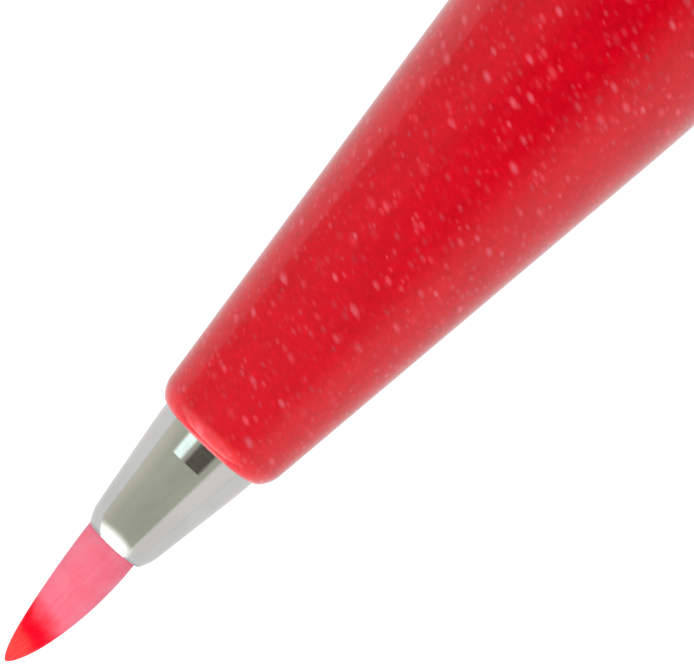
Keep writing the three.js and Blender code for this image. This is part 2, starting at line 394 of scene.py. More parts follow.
class Groups:
    """The shader groups that the finishes share, each built once."""

    def __init__(self) -> None:
        """Builds the groups."""
        self.glitter = self._glitter()
        self.handling = self._handling()
        self.fibres = self._fibres()

    @staticmethod
    def _flakes(sheet: Sheet, layer: FlakeLayer, flat: Socket, amount: Socket) -> tuple[Socket, Socket]:
        """Scatters the flakes of one layer.

        Args:
            sheet: The group's tree.
            layer: The layer.
            flat: Place on the unrolled surface.
            amount: How bright the flakes are.

        Returns:
            The mask of the flakes, and a colour of its own for each cell.
        """
        cells = sheet.node("TexVoronoi", {"Vector": flat, "Scale": 1 / layer.cell}, voronoi_dimensions="2D")
        chance = sheet.node("SeparateColor", {0: cells.outputs["Color"]}).outputs
        present = sheet.math("LESS_THAN", chance[0], layer.share)
        edge = sheet.math("MULTIPLY_ADD", chance[1], layer.size * 0.6, layer.size * 0.55)
        spot = sheet.fade(sheet.math("DIVIDE", cells.outputs["Distance"], edge), 0.0, 1.1, 1.0, 0.0)
        glow = sheet.math("MULTIPLY_ADD", sheet.math("POWER", chance[2], 2.2), 0.85, 0.15)
        mask = sheet.math("MULTIPLY", sheet.math("MULTIPLY", spot, present), glow)
        return sheet.math("MULTIPLY", mask, amount), cells.outputs["Color"]

    def _glitter(self) -> NodeTree:
        """Builds the glitter: bright flakes of two sizes under a clear skin, and cloudy pigment.

        Returns:
            The group. It puts out the colour, a mask of the flakes and their tilted normals.
        """
        large = FlakeLayer("Large Flakes", cell=0.72, share=0.6, size=0.30)
        small = FlakeLayer("Small Flakes", cell=0.36, share=0.75, size=0.40)
        sheet, given, result = new_group(
            "glitter_flakes",
            [
                Port("Pigment", "Color", rgba((0.6, 0.01, 0.02))),
                Port("Flake", "Color", rgba((1.0, 0.7, 0.75))),
                Port(large.port, "Float", 0.5),
                Port(small.port, "Float", 0.3),
                Port("Tilt", "Float", 0.3),
            ],
            [Port("Color", "Color"), Port("Mask"), Port("Normal", "Vector")],
        )
        place, unrolled = axis_coordinates(sheet)
        slanted = sheet.node("VectorRotate", {"Vector": unrolled, "Angle": math.radians(20)}).outputs[0]
        flat = sheet.vector_math("MULTIPLY", slanted, (1.0, 0.5, 0.0))
        large_mask, tint = self._flakes(sheet, large, flat, given[large.port])
        small_mask, _ = self._flakes(sheet, small, flat, given[small.port])
        mask = sheet.math("MAXIMUM", large_mask, small_mask, clamp=True)
        cloud = sheet.noise(place, 1.6, 4.0, Roughness=0.65)
        grain = sheet.noise(flat, 5.5, 2.0)
        level = sheet.math("MULTIPLY_ADD", grain, 0.40, sheet.math("MULTIPLY_ADD", cloud, 0.30, 0.65))
        haze = sheet.fade(grain, 0.5, 0.8, 0.0, 0.006)
        body = sheet.mix(haze, sheet.shaded(given["Pigment"], level), given["Flake"])
        tilt = sheet.vector_math("SUBTRACT", tint, (0.5, 0.5, 0.5))
        push = sheet.math("MULTIPLY", sheet.math("GREATER_THAN", mask, 0.05), given["Tilt"])
        tilt = sheet.node("VectorMath", {0: tilt, "Scale": push}, operation="SCALE").outputs[0]
        normal = sheet.vector_math("ADD", sheet.node("NewGeometry").outputs["Normal"], tilt)
        normal = sheet.vector_math("NORMALIZE", normal)
        sheet.feed(result, Color=sheet.mix(mask, body, given["Flake"]), Mask=mask, Normal=normal)
        return sheet.tree

    @staticmethod
    def _handling() -> NodeTree:
        """Builds the marks of making and use: smudges, fine scratches and lines round the axis.

        Returns:
            The group. It puts out a tint for the colour, the roughness, and a height for a bump.
        """
        sheet, given, result = new_group(
            "handling_marks",
            [
                Port("Color", "Color", rgba((0.8, 0.8, 0.8))),
                Port("Roughness", "Float", 0.2),
                Port("Smudge", "Float", 0.1),
                Port("Scratch", "Float", 0.2),
                Port("Lines", "Float", 0.2),
            ],
            [Port("Color", "Color"), Port("Roughness"), Port("Height")],
        )
        place, unrolled = axis_coordinates(sheet)
        patch = sheet.fade(sheet.noise(place, 0.35, 5.0, Distortion=0.6), 0.42, 0.68)
        along = sheet.vector_math("MULTIPLY", unrolled, (0.25, 9.0, 0.0))
        scratch = sheet.fade(sheet.noise(along, 1.4, 3.0, Roughness=0.7), 0.66, 0.74)
        marked = sheet.math("MULTIPLY", scratch, given["Scratch"])
        across = sheet.vector_math("MULTIPLY", unrolled, (22.0, 0.05, 0.0))
        lathe = sheet.math("MULTIPLY", sheet.noise(across, 1.0, 2.0), given["Lines"])
        rough = sheet.math("MULTIPLY_ADD", patch, given["Smudge"], given["Roughness"])
        rough = sheet.math("MULTIPLY_ADD", marked, 0.3, rough, clamp=True)
        colour = sheet.shaded(given["Color"], sheet.math("MULTIPLY_ADD", patch, -0.07, 1.0))
        sheet.feed(result, Color=colour, Roughness=rough, Height=sheet.math("SUBTRACT", lathe, marked))
        return sheet.tree

    @staticmethod
    def _fibres() -> NodeTree:
        """Builds the brush hair: wet red point, pink hair behind it with painted shade that deepens it
        towards the point, and fine lines along it.

        Returns:
            The group. It puts out the colour and a height for a bump.
        """
        sheet, given, result = new_group(
            "brush_fibres",
            [
                Port("Point", "Color", rgba((0.95, 0.05, 0.05))),
                Port("Wet", "Color", rgba((0.95, 0.01, 0.03))),
                Port("Dry", "Color", rgba((0.98, 0.25, 0.35))),
                Port("Lines", "Float", 0.5),
            ],
            [Port("Color", "Color"), Port("Height")],
        )
        place, unrolled = axis_coordinates(sheet, bends=True)
        parts = sheet.node("SeparateXYZ", {0: place}).outputs
        slanted = sheet.math("MULTIPLY_ADD", parts[1], -0.28, parts[0])
        wander = sheet.math("MULTIPLY_ADD", sheet.noise(place, 0.9, 3.0), 1.0, -0.5)
        front = sheet.math("ADD", slanted, wander)
        wet = sheet.mix(sheet.fade(front, 1.1, 1.95), given["Point"], given["Wet"])
        patches = sheet.fade(sheet.noise(unrolled, 1.1, 2.0), 0.35, 0.7, 0.0, 0.35)
        pale = sheet.mix(patches, given["Dry"], rgba((1.0, 0.36, 0.46)))
        # Painted shade: the pale patches fade in only behind the point, so the hair is painted deeper towards
        # the point to even out the brighter light that falls there.
        pale = sheet.mix(sheet.fade(front, 2.6, 5.6), given["Dry"], pale)
        colour = sheet.mix(sheet.fade(front, 2.15, 3.7), wet, pale)
        along = sheet.vector_math("MULTIPLY", unrolled, (0.12, 3.2, 1.0))
        lines = sheet.noise(along, 2.4, 3.0, Roughness=0.6)
        colour = sheet.shaded(colour, sheet.math("MULTIPLY_ADD", lines, 0.22, 0.89))
        sheet.feed(result, Color=colour, Height=sheet.math("MULTIPLY", lines, given["Lines"]))
        return sheet.tree


# ---- Finishes ----
def new_material(name: str, **uniform: object) -> tuple[Material, Sheet, Node]:
    """Starts a material.

    Args:
        name: Name of the material.
        **uniform: Values of the shader's own sockets, with _ for a space.

    Returns:
        The material, a sheet on its tree, and its Principled shader.
    """
    material = bpy.data.materials.new(name)
    material.use_nodes = True
    shader = material.node_tree.nodes["Principled BSDF"]
    for key, value in uniform.items():
        shader.inputs[key.replace("_", " ")].default_value = value
    return material, Sheet(material.node_tree), shader


@dataclass(frozen=True)
class GlitterFinish:
    """Glossy plastic full of pink-white glitter.

    Attributes:
        pigment: Colour of the plastic.
        flake: Colour of a flake.
        large: How bright the large flakes are.
        small: How bright the small flakes are.
        roughness: Roughness of the plastic under its gloss coat.
        smudge: Added roughness of a smudge.
        shine: How metallic a flake is.
    """

    pigment: Rgb = (0.68, 0.0004, 0.012)
    flake: Rgb = (1.0, 0.27, 0.37)
    large: float = 0.42
    small: float = 0.18
    roughness: float = 0.34
    smudge: float = 0.06
    shine: float = 0.5

    def material(self, groups: Groups) -> Material:
        """Builds the material."""
        made, sheet, shader = new_material(
            Slot.GLITTER.value,
            Subsurface_Weight=0.12,
            Subsurface_Radius=(1.0, 0.25, 0.2),
            Subsurface_Scale=0.0006,
            Specular_IOR_Level=0.04,
            Coat_Weight=1.0,
            Coat_Roughness=0.06,
            Coat_IOR=1.47,
        )
        colours = {"Pigment": rgba(self.pigment), "Flake": rgba(self.flake)}
        amounts = {"Large Flakes": self.large, "Small Flakes": self.small}
        flakes = sheet.node("Group", {**colours, **amounts}, node_tree=groups.glitter).outputs
        wear = {"Color": flakes["Color"], "Roughness": self.roughness, "Smudge": self.smudge}
        marks = sheet.node("Group", wear, node_tree=groups.handling).outputs
        sheet.feed(shader, Base_Color=marks["Color"], Roughness=marks["Roughness"])
        metallic = sheet.math("MULTIPLY", flakes["Mask"], self.shine)
        sheet.feed(shader, Normal=flakes["Normal"], Metallic=metallic)
        return made


@dataclass(frozen=True)
class MarkedFinish:
    """A plastic, rubber or metal finish with smudges, scratches and turning lines.

    Attributes:
        slot: The record's slot that it belongs to.
        colour: Base colour.
        roughness: Roughness of the clean surface.
        metallic: 1 for metal.
        smudge: Added roughness of a smudge.
        scratch: Depth of the fine scratches.
        lines: Depth of the lines round the axis.
        bump: Height of the marks in metres.
        coat: Weight of a clear gloss coat.
        subsurface: Share of light that goes into the piece.
        transmission: Share of light that goes through the piece.
    """

    slot: Slot
    colour: Rgb
    roughness: float = 0.3
    metallic: float = 0.0
    smudge: float = 0.12
    scratch: float = 0.3
    lines: float = 0.3
    bump: float = 0.000004
    coat: float = 0.0
    subsurface: float = 0.0
    transmission: float = 0.0

    def material(self, groups: Groups) -> Material:
        """Builds the material."""
        made, sheet, shader = new_material(
            self.slot.value,
            Metallic=self.metallic,
            Coat_Weight=self.coat,
            Coat_Roughness=0.06,
            Subsurface_Weight=self.subsurface,
            Subsurface_Radius=(1.0, 0.9, 0.8),
            Subsurface_Scale=0.0008,
            Transmission_Weight=self.transmission,
        )
        wear = {key.title(): getattr(self, key) for key in ("roughness", "smudge", "scratch", "lines")}
        marks = sheet.node("Group", {"Color": rgba(self.colour), **wear}, node_tree=groups.handling).outputs
        bump = sheet.node("Bump", {"Height": marks["Height"], "Strength": 0.5, "Distance": self.bump})
        sheet.feed(shader, Base_Color=marks["Color"], Roughness=marks["Roughness"], Normal=bump.outputs[0])
        return made


@dataclass(frozen=True)
class HairFinish:
    """Nylon brush hair, pink with a wet red point.

    Attributes:
        point: Colour at the very point.
        wet: Colour of the wet hair.
        dry: Colour of the hair behind it.
        bump: Height of the hairs in metres.
    """

    point: Rgb = (0.97, 0.055, 0.055)
    wet: Rgb = (1.0, 0.0, 0.02)
    dry: Rgb = (1.0, 0.195, 0.29)
    bump: float = 0.00003

    def material(self, groups: Groups) -> Material:
        """Builds the material."""
        made, sheet, shader = new_material(
            Slot.HAIR.value,
            Roughness=0.5,
            Subsurface_Weight=0.8,
            Subsurface_Radius=(1.0, 0.3, 0.35),
            Subsurface_Scale=0.0007,
            Specular_IOR_Level=0.06,
        )
        colours = {key.title(): rgba(getattr(self, key)) for key in ("point", "wet", "dry")}
        fibres = sheet.node("Group", colours, node_tree=groups.fibres).outputs
        bump = sheet.node("Bump", {"Height": fibres["Height"], "Strength": 0.4, "Distance": self.bump})
        sheet.feed(shader, Base_Color=fibres["Color"], Normal=bump.outputs[0])
        return made


class Finishes:
    """Every material of the pen, by slot."""

    def __init__(self) -> None:
        """Builds the shader groups and the materials."""
        groups = Groups()
        plain = [
            MarkedFinish(Slot.METAL, (0.66, 0.66, 0.66), 0.055, 1.0, smudge=0.03, scratch=0.2, lines=0.25),
            MarkedFinish(Slot.BLACK, (0.012, 0.012, 0.013), 0.35),
            MarkedFinish(Slot.CLEAR, (0.78, 0.82, 0.83), 0.18, transmission=0.6),
            MarkedFinish(Slot.INK, (0.45, 0.006, 0.02), 0.16, coat=0.6, subsurface=0.3),
            MarkedFinish(Slot.WHITE, (0.82, 0.82, 0.80), 0.4, subsurface=0.2),
            MarkedFinish(Slot.RUBBER, (0.018, 0.018, 0.018), 0.7),
            MarkedFinish(Slot.BRASS, (0.70, 0.48, 0.18), 0.25, 1.0, lines=0.6),
            MarkedFinish(Slot.STEEL, (0.56, 0.56, 0.57), 0.16, 1.0),
        ]
        self._made = {finish.slot: finish.material(groups) for finish in plain}
        self._made[Slot.GLITTER] = GlitterFinish().material(groups)
        self._made[Slot.HAIR] = HairFinish().material(groups)

    def __getitem__(self, slot: Slot) -> Material:
        """Gives the material of a slot."""
        return self._made[slot]


# ---- Pieces ----
@dataclass
class Assembly:
    """Pieces of the pen that are built together.

    Attributes:
        finishes: The pen's materials.
    """

    finishes: Finishes

    def placed(
        self, shell: BMesh, name: str, slot: Slot, replaces: tuple[str, ...], body: str | None
    ) -> Object:
        """Makes a finished mesh a piece of the pen.

        Args:
            shell: The mesh about the frame's X axis, in metres. It is freed.
            name: Name of the piece.
            slot: The record's slot that its finish comes from.
            replaces: CAD nodes that it stands for.
            body: CAD body that it rides on, or None to leave it on no body.

        Returns:
            The new object, at the origin.
        """
        bmesh.ops.translate(shell, verts=shell.verts, vec=AXIS.origin)
        mesh = bpy.data.meshes.new(name)
        shell.to_mesh(mesh)
        shell.free()
        piece = link(name, mesh)
        mesh.materials.append(self.finishes[slot])
        if replaces:
            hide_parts(*replaces)
        if body:
            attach(piece, body)
        LOG.info("%s: %d faces, on %s", name, len(mesh.polygons), body or "a blend")
        return piece

    def turned(
        self, name: str, body: str, node: str, slot: Slot, points: list[Point], steps: int = SMOOTH_STEPS
    ) -> None:
        """Builds a turned piece that stands for one CAD node.

        Args:
            name: Name of the piece.
            body: CAD body that it rides on.
            node: The CAD node.
            slot: The record's slot that its finish comes from.
            points: Its outline, as spun takes it.
            steps: Steps round the axis.
        """
        self.placed(spun(points, steps), name, slot, (node,), body)


# ---- Brush ----
@dataclass
class Brush(Assembly):
    """The hair that shows: a pointed tuft with fine ridges where its hairs lie side by side.

    Attributes:
        length: Station where the outline's curve ends.
        radius: Radius of the hair there.
        fullness: Exponents of the outline's curve.
        root: Station of the back end inside the ferrule.
        steps: Steps round the tuft.
        lengths: Steps along its outline, which are finer towards the point.
        ridges: Numbers of ridges round it, for each family of ridges.
        ridge_height: Height of one family.
        stiff_from: Station behind which the hair would stay still in a bend; not used, as nothing bends it.
        free_from: Station in front of which the hair would turn with a bent point; not used, as nothing bends
            it.
    """

    length: float = 7.2
    radius: float = 1.385
    fullness: Point = (1.75, 0.625)
    root: float = 8.6
    steps: int = 336
    lengths: int = 44
    ridges: tuple[int, ...] = (23, 37, 54, 71)
    ridge_height: float = 0.0045
    stiff_from: float = 7.2
    free_from: float = 3.4

    def outline_radius(self, u: float) -> float:
        """Gives the radius of the hair at a station."""
        inner, outer = self.fullness
        share = max(0.0, 1 - min(u, self.length) / self.length)
        return self.radius * (1 - share**inner) ** outer

    def bow(self, u: float) -> float:
        """Gives how far the hair's middle stands off the axis towards -Y."""
        u = min(u, self.length)
        return 0.058 * u - 0.01 * u * u

    def ridge(self, u: float, turn: float) -> float:
        """Gives the height of the ridges at a station and a place round the tuft.

        Args:
            u: Station.
            turn: Place round the axis, in radians.

        Returns:
            Height over the smooth outline.
        """
        total = 0.0
        for i, count in enumerate(self.ridges):
            wander = 0.5 * math.sin(0.9 * u + 1.7 * i) + 0.12 * count * math.sin(0.25 * u + i) / 10
            total += math.sin(count * turn + wander + 2.1 * i)
        return total * self.ridge_height * ease(u / 1.5)

    def build(self) -> None:
        """Builds the tuft and stores where each of its points lies at rest."""
        stations = [self.length * (i / self.lengths) ** 1.6 for i in range(self.lengths + 1)]
        points = [(u, self.outline_radius(u)) for u in stations]
        shell = spun([*points, (self.root, self.radius * 0.99), (self.root, 0.0)], self.steps)
        for vert in shell.verts:
            u, radius = vert.co.x / MM, math.hypot(vert.co.y, vert.co.z)
            if radius > MERGE:
                grown = 1 + self.ridge(u, math.atan2(vert.co.y, vert.co.z)) * MM / radius
                vert.co.y *= grown
                vert.co.z *= grown
            vert.co.y -= self.bow(u) * MM
        piece = self.placed(shell, "brush_hair", Slot.HAIR, ("bristle_tuft", "tuft_root"), None)
        at_rest = piece.data.attributes.new(REST_PLACE, "FLOAT_VECTOR", "POINT")
        at_rest.data.foreach_set("vector", [value for vert in piece.data.vertices for value in vert.co])
        AXIS.at(self.stiff_from)
        AXIS.at(self.free_from)
        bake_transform(piece)


# ---- Grip ----
@dataclass
class Grip(Assembly):
    """Ferrule and tapered grip with its threaded spigot.

    Attributes:
        mouth: Station of the ferrule's mouth.
        shoulder: Station where the ferrule's cone turns shallower.
        ferrule_end: Station where the ferrule's flange starts.
        lip: Station of the grip's front.
        lip_length: Length of the rounding there.
        lip_height: Height of that rounding.
        lip_power: Exponent of its curve; 2 is an ellipse.
        end: Station of the grip's back edge.
        step: Radius of the step that carries the middle ring.
        spigot: Radius of the spigot.
        spigot_end: Station of its end.
        seat: Radius of the bore that takes the ferrule.
        bore: Radius of the bore that takes the feed.
        cup_bore: Radius of the bore that takes the spike's cup.
        thread: Stations of the first and last thread.
    """

    mouth: float = 7.33
    shoulder: float = 12.52
    ferrule_end: float = 23.6
    lip: float = 13.7
    lip_length: float = 1.0
    lip_height: float = 0.57
    lip_power: float = 1.7
    end: float = 45.5
    step: float = 6.2
    spigot: float = 5.35
    spigot_end: float = 55.6
    seat: float = 2.72
    bore: float = 3.4
    cup_bore: float = 5.0
    thread: Point = (48.6, 54.8)

    def cone_radius(self, u: float) -> float:
        """Gives the grip's radius at a station. It widens steadily, then ever less."""
        straight_radius, straight_from, taper = 3.39, 15, 0.116
        round_from, rounding = 36, 0.00343
        return straight_radius + taper * (u - straight_from) - rounding * max(0.0, u - round_from) ** 2

    def ferrule(self) -> None:
        """Builds the ferrule: rolled mouth, cone, and a shallower rear part."""
        outside = [(7.7, 1.40), (self.mouth, 1.40, 0.03), (self.mouth + 0.03, 1.53, 0.1), (7.76, 1.788, 2.3)]
        outside += [(self.shoulder, 2.518, 0.16), (13.98, 2.708, 0.1), (14.3, 2.64), (self.ferrule_end, 2.64)]
        flange = [(self.ferrule_end, 3.2), (24.3, 3.2), (24.3, 2.26)]
        inside = [(self.shoulder, 2.2), (8.0, 1.53)]
        self.turned("ferrule_tube", "grip", "ferrule", Slot.METAL, [*rounded(outside), *flange, *inside])

    def cone(self) -> None:
        """Builds the grip: rounded lip, cone, step for the ring, and a spigot."""
        lip_steps, cone_start = 16, 16
        front = []
        for i in range(lip_steps + 1):
            share = math.sin(math.pi / 2 * i / lip_steps)
            rise = (1 - (1 - share) ** self.lip_power) ** (1 / self.lip_power)
            station = self.lip + self.lip_length * share
            front.append((station, self.cone_radius(station) - self.lip_height * (1 - rise)))
        cone = [(u, self.cone_radius(u)) for u in range(cone_start, int(self.end))]
        back = [cone[-1], (self.end, self.cone_radius(self.end), 0.2), (self.end, self.step)]
        back += [(47.7, self.step, 0.1), (47.7, self.spigot, 0.1), (self.spigot_end, self.spigot, 0.25)]
        back.append((self.spigot_end, self.cup_bore))
        inside = [(41.0, self.cup_bore), (41.0, self.bore), (23.5, self.bore), (23.5, self.seat)]
        outline = [*front, *cone, *rounded(back)[1:], *inside, (self.lip + 0.3, self.seat)]
        self.turned("grip_cone", "grip", "grip_section", Slot.GLITTER, outline)

    def thread_ridge(self) -> None:
        """Builds the spigot's thread: a ridge screwed round it."""
        first, last = self.thread
        turns = (last - first) / THREAD_PITCH
        steps = int(turns * 48)
        section = [(-0.36, 5.25), (-0.12, 5.78), (0.12, 5.78), (0.36, 5.25)]
        shell = bmesh.new()
        face = shell.faces.new([shell.verts.new(((first + u) * MM, 0.0, r * MM)) for u, r in section])
        advance = ((last - first) * MM / steps, 0, 0)
        angle = -turns * FULL_TURN
        bmesh.ops.spin(shell, geom=[face], **ABOUT_AXIS, dvec=advance, angle=angle, steps=steps)
        close_shell(shell)
        self.placed(shell, "spigot_thread", Slot.GLITTER, (), "grip")

    def build(self) -> None:
        """Builds the grip."""
        self.ferrule()
        self.cone()
        self.thread_ridge()


# ---- Ink supply ----
@dataclass
class InkSupply(Assembly):
    """Everything between the hair's root and the cartridge's end.

    Attributes:
        fins: Number of fins on the comb feed.
        first_fin: Station of the first.
        fin_pitch: Distance between two fins.
        fin_width: Thickness of a fin.
        cartridge: Stations of the cartridge's mouth and end.
    """

    fins: int = 10
    first_fin: float = 25.0
    fin_pitch: float = 1.3
    fin_width: float = 0.6
    cartridge: Point = (46.5, 104.0)

    def inner(self, name: str, node: str, slot: Slot, points: list[Point]) -> None:
        """Builds an inner turned piece that rides on the grip."""
        self.turned(name, "grip", node, slot, points, INNER_STEPS)

    def root(self) -> None:
        """Builds the welded root of the hair, the collar behind it and the wick."""
        weld = [(13.6, 0.6), (13.6, 2.12), (14.4, 2.12), (14.4, 0.6)]
        self.inner("root_button", "root_weld", Slot.HAIR, ring_outline(weld, 0.18))
        collar = [(14.5, 1.25), (14.5, 2.15), (18.0, 2.15), (18.0, 1.25)]
        self.inner("root_sleeve", "root_collar", Slot.WHITE, ring_outline(collar, 0.15))
        wick = [(7.6, 0.0), (7.6, 0.42, 0.2), (43.5, 0.42, 0.2), (43.5, 0.0)]
        self.inner("wick_rod", "ink_wick", Slot.HAIR, rounded(wick))

    def feed(self) -> None:
        """Builds the comb feed and its seal."""
        bore, core, rim, groove = 0.5, 1.7, 3.3, 2.5
        corners = [(18.1, bore), (18.1, 1.12), (24.6, 1.15), (24.6, core)]
        for i in range(self.fins):
            u = self.first_fin + i * self.fin_pitch
            corners += [(u, core), (u, rim), (u + self.fin_width, rim), (u + self.fin_width, core)]
        corners += [(38.4, core), (38.4, rim), (39.0, rim), (39.0, groove)]
        corners += [(39.9, groove), (39.9, rim), (40.9, rim), (40.9, bore)]
        self.inner("comb_feed", "feed_collector", Slot.BLACK, ring_outline(corners, 0.06))
        middle, seal_radius, cord, cord_steps = 39.45, 2.94, 0.4, 16
        circle = [FULL_TURN * i / cord_steps for i in range(cord_steps)]
        seal = [(middle + cord * math.cos(a), seal_radius + cord * math.sin(a)) for a in circle]
        self.inner("seal_ring", "feed_seal", Slot.RUBBER, seal)

    def spike(self) -> None:
        """Builds the cup with the hollow spike that opens the cartridge."""
        corners = [(41.1, 0.5), (41.1, 4.9), (55.4, 4.9), (55.4, 4.45), (44.0, 4.45)]
        corners += [(44.0, 1.2), (50.0, 1.2), (50.6, 0.8), (50.6, 0.5)]
        self.inner("spike_cup", "spike_housing", Slot.CLEAR, ring_outline(corners, 0.08))

    def tank(self) -> None:
        """Builds the ink cartridge and the ball that stirs its ink."""
        mouth, end = self.cartridge
        neck, wall, bore = 2.3, 4.3, 3.8
        outside = [(mouth, 1.3), (mouth, neck, 0.15), (50.0, neck, 0.4), (51.4, wall, 0.6)]
        outside += [(end - 1, wall, 0.5), (end, 3.3, 0.4), (end, 0.0)]
        inside = [(end - 0.8, 0.0), (end - 0.8, 3.0, 0.3), (end - 1.5, bore, 0.3), (52.0, bore, 0.3)]
        inside += [(50.8, 1.3, 0.1), (mouth, 1.3)]
        self.inner("ink_tank", "ink_cartridge", Slot.INK, rounded([*outside, *inside])[:-1])
        low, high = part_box("mixing_ball")
        ball = bmesh.new()
        bmesh.ops.create_uvsphere(ball, u_segments=32, v_segments=20, radius=(high.x - low.x) / 2)
        bmesh.ops.translate(ball, verts=ball.verts, vec=(low + high) / 2 - AXIS.origin)
        close_shell(ball)
        self.placed(ball, "stirring_ball", Slot.STEEL, ("mixing_ball",), "ball")

    def build(self) -> None:
        """Builds the ink supply."""
        self.root()
        self.feed()
        self.spike()
        self.tank()


# ---- Barrel ----
@dataclass
class Barrel(Assembly):
    """Bright ring, barrel, its brass thread sleeve and the tail plug.

    Attributes:
        start: Station of the barrel's mouth.
        end: Station of its back edge.
        bore: Radius of the barrel's bore.
        seat: Radius of the wider bore that takes the sleeve.
        grooves: Number of thread grooves in the sleeve.
        last_groove: Station of the rearmost groove.
    """

    start: float = 47.75
    end: float = 131.5
    bore: float = 5.0
    seat: float = 6.7
    grooves: int = 8
    last_groove: float = 57.2

    def ring(self) -> None:
        """Builds the bright ring, with a groove round its middle."""
        bore, edge, groove = 6.28, 7.48, 7.34
        corners = [(45.6, bore), (45.6, edge, 0.28), (46.35, BODY_RADIUS, 0.08), (46.45, groove)]
        corners += [(46.75, groove), (46.85, BODY_RADIUS, 0.08), (47.6, edge, 0.28), (47.6, bore)]
        self.turned("middle_ring", "ring", "grip_ring", Slot.METAL, ring_outline(corners, 0.06))

    def tube(self) -> None:
        """Builds the barrel, widest at the ring and slimmer towards the tail."""
        outside = [(self.start, self.seat), (self.start, BODY_RADIUS, 0.25), (52.0, BODY_RADIUS, 25.0)]
        outside += [(70.0, 7.4, 30.0), (92.0, 7.1, 30.0), (112.0, 6.7, 8.0), (121.5, 6.6, 20.0)]
        outside += [(self.end, 6.2, 0.3), (self.end, self.bore)]
        outline = [*rounded(outside, steps=7), (58.1, self.bore), (58.1, self.seat)]
        self.turned("barrel_tube", "barrel", "barrel", Slot.GLITTER, outline)

    def sleeve(self) -> None:
        """Builds the brass sleeve with its female thread, drawn as fine grooves."""
        front, back, outer, inner, deep = self.start + 0.2, 58.0, 6.6, 5.9, 6.15
        corners = [(front, outer), (back, outer), (back, inner)]
        for i in range(self.grooves):
            u = self.last_groove - THREAD_PITCH * i
            corners += [(u, inner), (u - 0.3, deep), (u - 0.6, deep), (u - 0.9, inner)]
        outline = ring_outline([*corners, (front, 5.95)], 0.04)
        self.turned("thread_sleeve", "barrel", "thread_insert", Slot.BRASS, outline, INNER_STEPS)

    def plug(self) -> None:
        """Builds the bright plug in the tail, with a turned groove in its end."""
        shank, button, shoulder, face = 4.92, 6.15, 131.58, 135.0
        corners = [(125.0, 0.0), (125.0, 4.4, 0.3), (126.0, shank, 0.3), (shoulder, shank)]
        corners += [(shoulder, button, 0.15), (face, button, 1.2), (face, 3.6, 0.1), (face - 0.25, 3.4, 0.1)]
        corners += [(face - 0.25, 3.1, 0.1), (face, 2.9, 0.1), (face, 0.0)]
        self.turned("tail_button", "barrel", "tail_plug", Slot.METAL, rounded(corners))

    def build(self) -> None:
        """Builds the barrel."""
        self.ring()
        self.tube()
        self.sleeve()
        self.plug()


